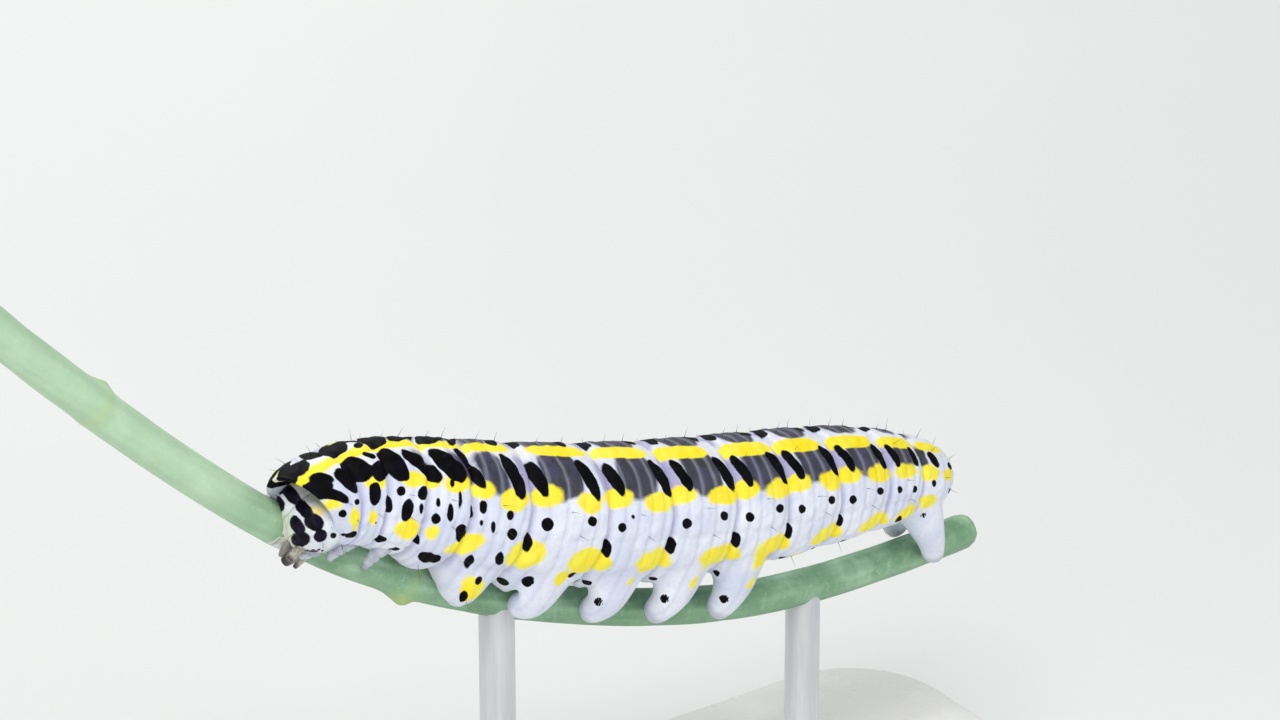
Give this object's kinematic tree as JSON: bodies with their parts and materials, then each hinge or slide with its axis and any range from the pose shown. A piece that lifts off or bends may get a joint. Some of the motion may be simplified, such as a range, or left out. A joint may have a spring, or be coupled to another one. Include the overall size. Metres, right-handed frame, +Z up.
{
  "type": "toadflax brocade moth larva",
  "caption": "Life-size spotted moth larva at rest with its head down a bare sloping plant stem, which short rods hold above a flat display base.",
  "frame": {"origin": "centre of the underside of the display base", "axes": "+Z up, +X from the larva's head towards its tail, -Y the side of the larva that the picture shows (its left)"},
  "size_m": [0.0512, 0.02, 0.0379],
  "materials": {
    "head_capsule": "hard glossy pale capsule with dark purple-black spots",
    "mouthparts": "hard grey-brown jaws and feelers",
    "skin": "soft satin skin, bluish white with black spots and lemon yellow blotches and stripes",
    "leg": "hard smoky grey jointed legs",
    "proleg": "soft satin pale fleshy legs",
    "stem": "waxy bluish green plant stem",
    "stand_base": "off-white acrylic",
    "stand_rod": "pale grey acrylic rod"
  },
  "bodies": {
    "root": {"head": "head_capsule", "antenna_left": "mouthparts", "antenna_right": "mouthparts", "mandible_left": "mouthparts", "mandible_right": "mouthparts", "thorax_1": "skin", "thorax_2": "skin", "thorax_3": "skin", "abdomen_1": "skin", "abdomen_2": "skin", "abdomen_3": "skin", "abdomen_4": "skin", "abdomen_5": "skin", "abdomen_6": "skin", "abdomen_7": "skin", "abdomen_8": "skin", "abdomen_9": "skin", "abdomen_10": "skin", "leg_left_1": "leg", "leg_left_2": "leg", "leg_left_3": "leg", "leg_right_1": "leg", "leg_right_2": "leg", "leg_right_3": "leg", "proleg_left_3": "proleg", "proleg_left_4": "proleg", "proleg_left_5": "proleg", "proleg_left_6": "proleg", "proleg_right_3": "proleg", "proleg_right_4": "proleg", "proleg_right_5": "proleg", "proleg_right_6": "proleg", "anal_proleg_left": "proleg", "anal_proleg_right": "proleg", "perch_stem": "stem", "stand_base": "stand_base", "stand_rod_front": "stand_rod", "stand_rod_rear": "stand_rod"}
  },
  "joints": []
}
